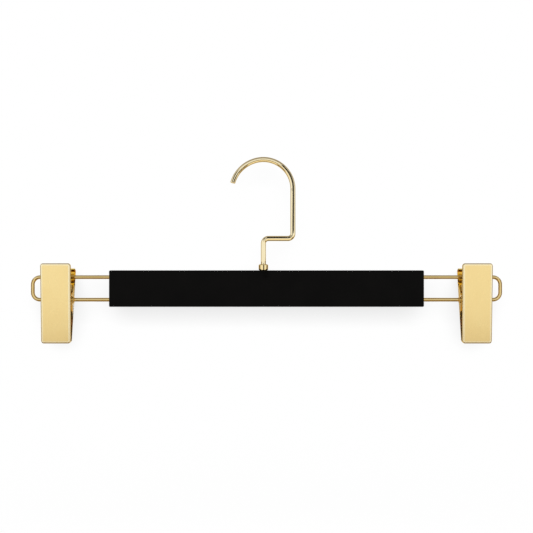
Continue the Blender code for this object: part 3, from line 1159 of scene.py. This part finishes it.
def one_sided(tree, surface):
    """The surface is seen through from behind."""
    clear = add_node(tree, "ShaderNodeBsdfTransparent")
    behind = add_node(tree, "ShaderNodeNewGeometry").outputs["Backfacing"]
    mixed = add_node(tree, "ShaderNodeMixShader", {0: behind, 1: surface, 2: clear.outputs[0]})
    tree.links.new(mixed.outputs[0], tree.nodes["Material Output"].inputs["Surface"])


def matt(name, colour):
    made = bpy.data.materials.new(name)
    made.use_nodes = True
    shader = made.node_tree.nodes["Principled BSDF"]
    shader.inputs["Base Color"].default_value = (*colour, 1.0)
    shader.inputs["Roughness"].default_value = matt_roughness
    shader.inputs["Specular IOR Level"].default_value = 0.0
    return made


def backdrop(name, colour):
    """A matt look that glows for the camera, so that its shadows are faint."""
    made = matt(name, colour)
    tree = made.node_tree
    seen = add_node(tree, "ShaderNodeLightPath").outputs["Is Camera Ray"]
    share = add_node(
        tree, "ShaderNodeMapRange", {"Value": seen, 3: 0.0, 4: 1.0 - shadow_share}
    ).outputs[0]
    glow = add_node(
        tree, "ShaderNodeEmission", {"Color": (*sky_colour, 1.0), "Strength": backdrop_glow}
    )
    base = tree.nodes["Principled BSDF"].outputs[0]
    mixed = add_node(tree, "ShaderNodeMixShader", {0: share, 1: base, 2: glow.outputs[0]})
    one_sided(tree, mixed.outputs[0])
    return made


def shade_only(name):
    """A clear look that only shows the shade of what is close before it and above it."""
    made = bpy.data.materials.new(name)
    made.use_nodes = True
    tree = made.node_tree
    tree.nodes.remove(tree.nodes["Principled BSDF"])
    towards = add_node(
        tree, "ShaderNodeCombineXYZ", dict(enumerate(wall_shade_towards))
    ).outputs[0]
    open_share = add_node(
        tree,
        "ShaderNodeAmbientOcclusion",
        {"Distance": wall_shade_reach, "Normal": towards},
        samples=wall_shade_samples,
    ).outputs["AO"]
    level = add_node(
        tree,
        "ShaderNodeMapRange",
        {"Value": open_share, 1: wall_closed_share, 2: wall_open_share, 3: wall_shade, 4: 1.0},
    ).outputs[0]
    clear = add_node(tree, "ShaderNodeBsdfTransparent", {"Color": level})
    one_sided(tree, clear.outputs[0])
    return made


def card_look(name, colour):
    made = matt(name, colour)
    one_sided(made.node_tree, made.node_tree.nodes["Principled BSDF"].outputs[0])
    return made


dark_card = card_look("dark_card", card_colour)
dim_card = card_look("dim_card", dim_colour)
grey_card = card_look("grey_card", grey_colour)
amber_card = card_look("amber_card", amber_colour)
brown_card = card_look("brown_card", brown_colour)

wall = stage_plane(
    "wall",
    [
        (-stage_reach, wall_y, floor_z),
        (stage_reach, wall_y, floor_z),
        (stage_reach, wall_y, stage_reach),
        (-stage_reach, wall_y, stage_reach),
    ],
    shade_only("wall_shade"),
)
wall.visible_diffuse = False
wall.visible_glossy = False
wall.visible_transmission = False
wall.visible_shadow = False
floor = stage_plane(
    "floor",
    [
        (-stage_reach, -stage_reach, floor_z),
        (stage_reach, -stage_reach, floor_z),
        (stage_reach, stage_reach, floor_z),
        (-stage_reach, stage_reach, floor_z),
    ],
    backdrop("pale_floor", floor_colour),
)
floor.visible_glossy = False


def card(name, corners, look=dark_card):
    """A card that only the metal's reflections show."""
    made = stage_plane(name, corners, look)
    made.visible_camera = False
    made.visible_diffuse = False
    made.visible_shadow = False
    made.visible_transmission = False


def upright_card(name, start, end, low, high, look=dark_card):
    """A card between two points of the ground plan. It faces to the left of the way between."""
    card(name, [(*start, low), (*start, high), (*end, high), (*end, low)], look)


upright_card("card_by_collar", (-0.0009, -0.0125), (0.0036, -0.0115), -0.0935, -0.0815)
upright_card("card_left_of_collar", (-0.010, 0.008), (-0.010, -0.005), -0.089, -0.080, amber_card)
upright_card("card_right_of_collar", (0.010, -0.005), (0.010, 0.008), -0.089, -0.080, amber_card)
card(
    "card_by_hook",
    [
        (-0.030, -0.099, -0.054),
        (0.060, -0.060, 0.065),
        (0.095, -0.055, 0.065),
        (0.054, -0.095, -0.054),
    ],
    dim_card,
)
card(
    "grey_card_by_hook",
    [
        (0.054, -0.095, -0.054),
        (0.095, -0.055, 0.065),
        (0.130, -0.020, 0.065),
        (0.104, -0.056, -0.054),
    ],
    grey_card,
)
card(
    "card_above_hook",
    [
        (0.062, -0.069, 0.051),
        (0.033, -0.065, 0.073),
        (0.037, -0.054, 0.080),
        (0.078, -0.034, 0.067),
    ],
    dim_card,
)
card(
    "card_by_tip",
    [
        (-0.088, -0.072, -0.010),
        (-0.095, -0.050, 0.047),
        (-0.060, -0.080, 0.047),
        (-0.038, -0.100, -0.012),
    ],
)
card(
    "card_over_step",
    [
        (-0.008, -0.255, -0.012),
        (-0.008, -0.017, -0.012),
        (0.019, -0.017, -0.012),
        (0.019, -0.255, -0.012),
    ],
)
for label, side in sides:
    inner_side = [(bar_centre_offset + side * x, 0.040) for x in (0.095, 0.149)]
    inner_side.sort(reverse=True)
    upright_card(f"card_beside_{label}_clip", *inner_side, -0.150, -0.070, amber_card)
    outer_side = [(bar_centre_offset + side * 0.212, y) for y in (-0.030, 0.010)]
    outer_side.sort(reverse=side < 0)
    upright_card(f"card_outside_{label}_clip", *outer_side, -0.155, -0.080, amber_card)
    near = bar_centre_offset + side * 0.127
    far = bar_centre_offset + side * 0.300
    low, high = sorted((near, far))
    card(
        f"card_under_{label}_clip",
        [
            (low, -0.30, -0.210),
            (high, -0.30, -0.210),
            (high, 0.02, -0.210),
            (low, 0.02, -0.210),
        ],
        brown_card,
    )

world = bpy.data.worlds.new("studio")
scene.world = world
world.use_nodes = True
tree = world.node_tree
background = tree.nodes["Background"]
path = add_node(tree, "ShaderNodeLightPath").outputs
direction = add_node(tree, "ShaderNodeTexCoord").outputs["Generated"]
parts = add_node(tree, "ShaderNodeSeparateXYZ", {0: direction}).outputs


def within(value, band):
    """A share that goes from 0 at the band's start to 1 at its end."""
    return add_node(tree, "ShaderNodeMapRange", {"Value": value, 1: band[0], 2: band[1]}).outputs[0]


room = mix_colour(tree, within(parts["Z"], zenith_band), sky_colour, zenith_colour)
room = mix_colour(tree, within(parts["Z"], ground_band), room, ground_colour)
room = mix_colour(tree, within(parts["Z"], nadir_band), room, nadir_colour)
behind = add_node(
    tree,
    "ShaderNodeMath",
    {0: within(parts["Y"], dusk_near_band), 1: within(parts["Y"], dusk_far_band)},
    operation="MULTIPLY",
).outputs[0]
room = mix_colour(tree, behind, room, dusk_colour)
mirrored_in_metal = add_node(
    tree,
    "ShaderNodeMath",
    {0: path["Is Glossy Ray"], 1: path["Is Transmission Ray"]},
    operation="MAXIMUM",
).outputs[0]
seen = add_node(
    tree,
    "ShaderNodeMath",
    {0: mirrored_in_metal, 1: path["Is Camera Ray"]},
    operation="MAXIMUM",
).outputs[0]
strength = add_node(tree, "ShaderNodeMapRange", {"Value": seen, 3: ambient, 4: 1.0}).outputs[0]
tree.links.new(mix_colour(tree, mirrored_in_metal, sky_colour, room), background.inputs["Color"])
tree.links.new(strength, background.inputs["Strength"])
world.cycles.sampling_method = "NONE"

# A row of soft suns stands for one long softbox, and lights the floor evenly.
for turn in sun_turns:
    sun = bpy.data.lights.new("softbox", "SUN")
    sun.energy = sun_strength
    sun.angle = sun_size
    lamp = bpy.data.objects.new("softbox", sun)
    level = math.cos(sun_rise)
    towards_light = Vector((math.sin(turn) * level, -math.cos(turn) * level, math.sin(sun_rise)))
    lamp.rotation_euler = towards_light.to_track_quat("Z", "Y").to_euler()
    lamp.visible_glossy = False
    scene.collection.objects.link(lamp)

lens = bpy.data.cameras.new("camera")
lens.sensor_width = sensor_width
lens.lens = sensor_width * focal_pixels / picture_pixels
camera = bpy.data.objects.new("camera", lens)
camera.location = camera_place
camera.rotation_euler = (quarter_turn, 0.0, 0.0)
scene.collection.objects.link(camera)
scene.camera = camera
scene.view_settings.view_transform = "Standard"
